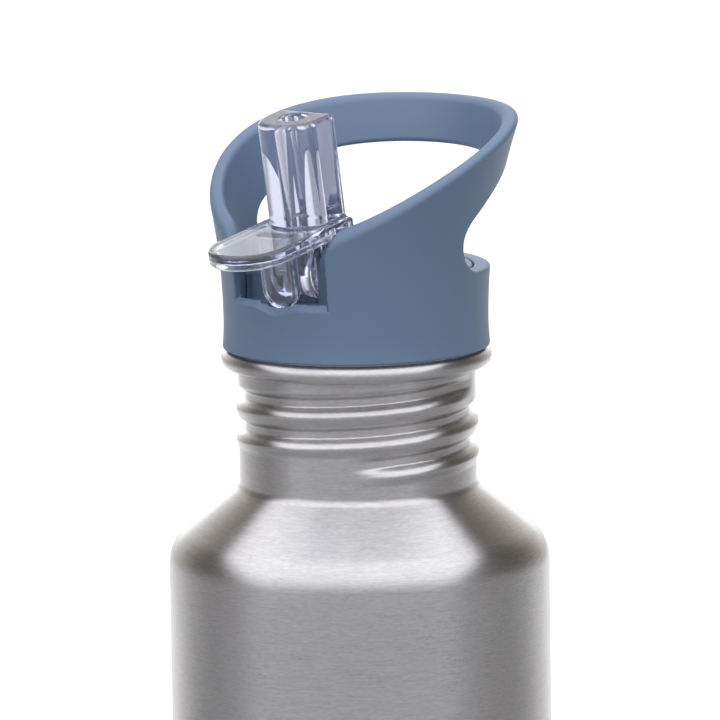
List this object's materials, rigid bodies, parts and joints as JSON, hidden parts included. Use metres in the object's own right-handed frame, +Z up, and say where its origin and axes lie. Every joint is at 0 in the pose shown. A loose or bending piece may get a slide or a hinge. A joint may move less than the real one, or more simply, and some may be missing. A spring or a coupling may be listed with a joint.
{
  "type": "water bottle",
  "caption": "Stainless steel drinking bottle with a screw cap that rises into a carrying loop, a clear flip-up spout and an inner straw, sized for a bicycle bottle cage.",
  "frame": {"origin": "centre of the foot ring, on the plane the bottle stands on", "axes": "+Z up along the bottle's axis, the spout leans towards -Y, the finger hole runs along X"},
  "size_m": [0.073, 0.076, 0.2065],
  "materials": {
    "steel": "brushed round the bottle",
    "cap_blue": "fine satin",
    "clear": "clear moulded plastic",
    "silicone": "translucent matte"
  },
  "bodies": {
    "bottle": {"bottle_shell": "steel", "base_disc": "steel"},
    "gasket": {"lip_gasket": "silicone"},
    "cap": {"cap_shell": "cap_blue", "cap_core": "cap_blue", "seat_seal": "silicone", "vent_valve": "silicone", "straw_adapter": "silicone", "straw": "clear"},
    "spout": {"spout": "clear"}
  },
  "joints": [
    {"name": "cap_rise", "type": "slide", "parent": "bottle", "child": "gasket", "axis": [0, 0, 1], "range_m": [0, 0.0105]},
    {"name": "cap_turn", "type": "hinge", "parent": "gasket", "child": "cap", "pos_m": [0, 0, 0.16], "axis": [0, 0, 1], "range_deg": [0, 630]},
    {"name": "spout_flip", "type": "hinge", "parent": "cap", "child": "spout", "pos_m": [0, -0.0134, 0.177], "axis": [-1, 0, 0], "range_deg": [0, 78]}
  ],
  "couplings": [
    {"joint": "cap_rise", "follows": "cap_turn", "m_per_rad": 0.00095493}
  ]
}
